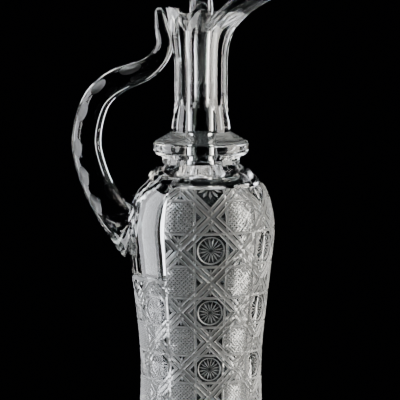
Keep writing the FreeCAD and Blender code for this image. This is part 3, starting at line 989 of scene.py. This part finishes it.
def thumb_cuts(obj, line):
    """Hollow oval cuts along both shoulders of the outer side.

    Returns the matrix that leads into the frame of each wheel, in which it is a ball of radius 1.
    """
    half_sizes = Vector(THUMB_WHEEL) * MM
    wheels = []
    for x, z in THUMB_CUTS:
        station = min(range(len(line)), key=lambda mark: (line[mark][0] - x) ** 2 + (line[mark][1] - z) ** 2)
        way = line_way(line, station)
        out = Vector((way.z, 0, -way.x))
        if out.dot(Vector((x - LOOP_CENTRE[0], 0, z - LOOP_CENTRE[1]))) < 0:
            out = -out
        middle = Vector((line[station][0], 0, line[station][1]))
        thick = line[station][2]
        for side in (-1, 1):
            facing = (out * THUMB_OUTWARD + Vector((0, side, 0)) * THUMB_SIDEWAYS).normalized()
            across = facing.cross(way).normalized()
            turn = Matrix((across, way, facing)).transposed().to_4x4()
            hub = middle + facing * (thick - THUMB_DEPTH + THUMB_WHEEL[2])
            bpy.ops.mesh.primitive_uv_sphere_add(segments=64, ring_count=48, radius=1)
            wheel = bpy.context.object
            wheel.matrix_world = Matrix.Translation(hub * MM) @ turn @ Matrix.Diagonal((*half_sizes, 1))
            bpy.context.view_layer.update()
            wheels.append(wheel.matrix_world.inverted())
            cut_with(obj, wheel)
    return wheels


def turned_block(corners, name):
    """Solid of revolution from an outline that starts on the axis and is closed by a flat top."""
    skin = Skin()
    turns = full_turn(128)
    below = None
    for spot in corners:
        if spot.x < NEAR_AXIS:
            continue
        points = round_ring(spot.x, spot.y, turns)
        if below is None:
            below = skin.ring(points)
            skin.cap(below, Vector((0, 0, spot.y)) * MM, BLOWN)
        else:
            below = skin.grow(below, points, BLOWN)
    skin.cap(below, Vector((0, 0, corners[-1].y)) * MM, BLOWN)
    obj = new_object(name, skin.points, skin.faces)
    outward(obj)
    return obj


def handle_seat():
    """The vessel's outside with a hair's gap, as a block to take out of the handle."""
    outline = []
    for spot in rounded(OUTSIDE):
        gap = HANDLE_GAP if spot.x > NEAR_AXIS else 0.0
        outline.append(Vector((spot.x + gap, spot.y)))
    steps = 12
    for step in range(1, steps + 1):
        z = MOUTH_START + MOUTH_HEIGHT * step / steps
        outline.append(Vector((mouth_reach(z)[1] + HANDLE_GAP, z)))
    return turned_block(outline, "seat_of_handle")


def make_handle(materials):
    """Drawn rod of glass with hollow oval thumb cuts, seated on the vessel."""
    line = smooth_line(HANDLE_LINE, HANDLE_STEPS)
    obj = handle_rod(line)
    wheels = thumb_cuts(obj, line)
    cut_with(obj, handle_seat())
    finish_piece(obj, materials, crisp_angle=24)
    for face in obj.data.polygons:
        face.material_index = BLOWN
        for into_wheel in wheels:
            corners = [into_wheel @ obj.data.vertices[corner].co for corner in face.vertices]
            if all(abs(corner.length - 1) < 0.01 for corner in corners):
                face.material_index = SATIN
    return obj


def octagon(angle, radius):
    """Radius of an eight-sided outline with its corners at that radius."""
    turn = angle % (math.pi / 4) - math.pi / 8
    return radius * math.cos(math.pi / 8) / math.cos(turn)


def make_stopper(materials):
    """Ground peg, plain shank and an eight-sided cut head."""
    skin = Skin()
    below = None
    for r, z, finish in STOPPER:
        points = []
        for angle in full_turn(STOPPER_SIDES):
            points += round_ring(octagon(angle, r) if finish == CUT else r, z, [angle])
        if below is None:
            below = skin.ring(points)
            skin.cap(below, Vector((0, 0, z)) * MM, finish)
        else:
            below = skin.grow(below, points, finish)
    skin.cap(below, Vector((0, 0, STOPPER_TOP)) * MM, CUT)
    obj = new_object("cut_stopper", skin.points, skin.faces)
    obj.data.polygons.foreach_set("material_index", skin.finish)
    finish_piece(obj, materials, crisp_angle=14)
    return obj


def linear(colour):
    """A hex colour as the linear values that the shaders take."""
    values = []
    for place in (1, 3, 5):
        share = int(colour[place:place + 2], 16) / 255
        values.append(share / 12.92 if share <= 0.04045 else ((share + 0.055) / 1.055) ** 2.4)
    return (*values, 1.0)


def node(tree, kind, **inputs):
    """One shader node with its sockets set or linked."""
    made = tree.nodes.new(kind)
    for name, value in inputs.items():
        socket = made.inputs[name.replace("_", " ")]
        if isinstance(value, bpy.types.NodeSocket):
            tree.links.new(value, socket)
        else:
            socket.default_value = value
    return made


def glass(name, colour, smooth, rough, wave_mm, wave_height_mm, clear=1.0):
    """Lead crystal; the waves are those of the hot or wheel-polished surface, in millimetres.

    Its roughness runs from smooth to rough along the waves, and clear is the share of light let through.
    """
    material = bpy.data.materials.new(name)
    material.use_nodes = True
    tree = material.node_tree
    shader = tree.nodes["Principled BSDF"]
    shader.inputs["Base Color"].default_value = linear(colour)
    shader.inputs["IOR"].default_value = CRYSTAL_IOR
    shader.inputs["Transmission Weight"].default_value = clear
    place = tree.nodes.new("ShaderNodeTexCoord").outputs["Object"]
    noise = node(tree, "ShaderNodeTexNoise", Vector=place, Scale=1 / (wave_mm * MM), Detail=2.0)
    waves = noise.outputs["Fac"]
    polish = node(tree, "ShaderNodeMapRange", Value=waves, To_Min=smooth, To_Max=rough)
    tree.links.new(polish.outputs["Result"], shader.inputs["Roughness"])
    bump = node(tree, "ShaderNodeBump", Height=waves, Strength=1.0, Distance=wave_height_mm * MM)
    tree.links.new(bump.outputs["Normal"], shader.inputs["Normal"])
    return material


def joint_glass():
    """Where one gather was laid hot on another: the glass runs through, with no surface to see."""
    material = bpy.data.materials.new("fused_crystal_joint")
    material.use_nodes = True
    tree = material.node_tree
    tree.nodes.remove(tree.nodes["Principled BSDF"])
    clear = node(tree, "ShaderNodeBsdfTransparent")
    tree.links.new(clear.outputs["BSDF"], tree.nodes["Material Output"].inputs["Surface"])
    return material


def crystal_finishes():
    """One material for each finish of the glass, in the finishes' order."""
    # flat lands and flutes: clear and sharp, with the faint waver that polishing leaves
    cut = glass("cut_polished_crystal", "#fbfdfd", 0.0, 0.02, 6.0, 0.002)
    # blown and drawn glass: clear, with the slow swells of hot glass that bend reflections
    blown = glass("fire_polished_crystal", "#fafdfc", 0.0, 0.015, 22.0, 0.02)
    # peg and seat: slightly misted, as fine grinding leaves them
    ground = glass("ground_polished_crystal", "#f8fbfa", 0.02, 0.09, 1.2, 0.002)
    # thumb cuts: a frosted bloom that sets the ovals off from the clear rod
    satin = glass("satin_ground_crystal", "#f4f7f6", 0.26, 0.4, 2.0, 0.004)
    # inner wall: painted shade, a grey tint that darkens the view through the hollow body, so that the
    # pattern on the far side doesn't show through the near one
    inside = glass("blown_crystal_inside_painted_shade", "#7d8385", 0.0, 0.02, 22.0, 0.01)
    # slanted facets of the cuts: they scatter part of the light, so that they stand out bright
    wheel = glass("wheel_cut_crystal_facets", "#f6f8f8", 0.02, 0.06, 3.0, 0.002, clear=0.6)
    return [cut, blown, joint_glass(), ground, satin, inside, wheel]


def matte(name, colour, roughness):
    material = bpy.data.materials.new(name)
    material.use_nodes = True
    shader = material.node_tree.nodes["Principled BSDF"]
    shader.inputs["Base Color"].default_value = linear(colour)
    shader.inputs["Roughness"].default_value = roughness
    return material


def lamp(name, place, target, size, power, colour):
    """Soft box that faces a point."""
    data = bpy.data.lights.new(name, "AREA")
    data.shape = "RECTANGLE"
    data.size, data.size_y = size
    data.energy = power
    data.color = linear(colour)[:3]
    obj = bpy.data.objects.new(name, data)
    bpy.context.scene.collection.objects.link(obj)
    obj.location = place
    obj.rotation_euler = (Vector(target) - Vector(place)).to_track_quat("-Z", "Y").to_euler()


def make_camera():
    """Long lens a little right of the front and a little above the shoulder."""
    azimuth = math.radians(5)
    elevation = math.radians(6)
    away = 1.7
    sensor_mm = 36
    frame_width = 0.274
    aim_height = 0.1747
    aim_left = 0.0007
    right = Vector((math.cos(azimuth), math.sin(azimuth), 0))
    target = Vector((0, 0, aim_height)) - right * aim_left
    level = math.cos(elevation)
    back = Vector((math.sin(azimuth) * level, -math.cos(azimuth) * level, math.sin(elevation)))
    data = bpy.data.cameras.new("camera")
    data.lens = sensor_mm * away / frame_width
    data.clip_start = 0.05
    obj = bpy.data.objects.new("camera", data)
    bpy.context.scene.collection.objects.link(obj)
    obj.location = target + back * away
    obj.rotation_euler = (-back).to_track_quat("-Z", "Y").to_euler()
    bpy.context.scene.camera = obj


def make_stage():
    """Pale round floor under the decanter, dark surroundings and soft boxes to both sides."""
    bpy.ops.mesh.primitive_cylinder_add(vertices=128, radius=0.14, depth=0.02, location=(0, 0, -0.0101))
    floor = bpy.context.object
    floor.name = "floor"
    # white paper: a soft pale ground without gloss
    floor.data.materials.append(matte("pale_paper", "#dedcd8", 0.8))
    world = bpy.data.worlds.new("dark_room")
    world.use_nodes = True
    world.node_tree.nodes["Background"].inputs["Color"].default_value = linear("#030304")
    bpy.context.scene.world = world
    middle = (0, 0, 0.19)
    lamp("soft_box_left", (-0.7, 0.0, 0.25), middle, (0.5, 0.9), 8.4, "#f7f8ff")
    lamp("soft_box_right", (0.7, 0.0, 0.25), middle, (0.5, 0.9), 9.6, "#fffaf2")
    lamp("soft_box_top", (-0.25, 0.1, 0.9), middle, (0.4, 0.3), 0.5, "#ffffff")
    lamp("soft_box_front_left", (-0.8, -0.6, 0.35), middle, (0.2, 0.6), 2.4, "#ffffff")
    lamp("rim_strip_left", (-0.5, 0.6, 0.35), middle, (0.04, 0.8), 0.16, "#ffffff")
    lamp("rim_strip_right", (0.5, 0.6, 0.35), middle, (0.04, 0.8), 0.16, "#ffffff")


def main():
    materials = crystal_finishes()
    pieces = (
        (make_vessel(materials), "vessel", "vessel"),
        (make_ring(materials), "vessel", "neck_ring"),
        (make_handle(materials), "vessel", "handle"),
        (make_stopper(materials), "stopper", "stopper"),
    )
    for piece, body, cad_node in pieces:
        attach(piece, body)
        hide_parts(cad_node)
    make_stage()
    make_camera()
    # light passes through many layers of cut glass
    cycles = bpy.context.scene.cycles
    cycles.max_bounces = 32
    cycles.transmission_bounces = 32
    cycles.glossy_bounces = 16
    cycles.transparent_max_bounces = 32


main()
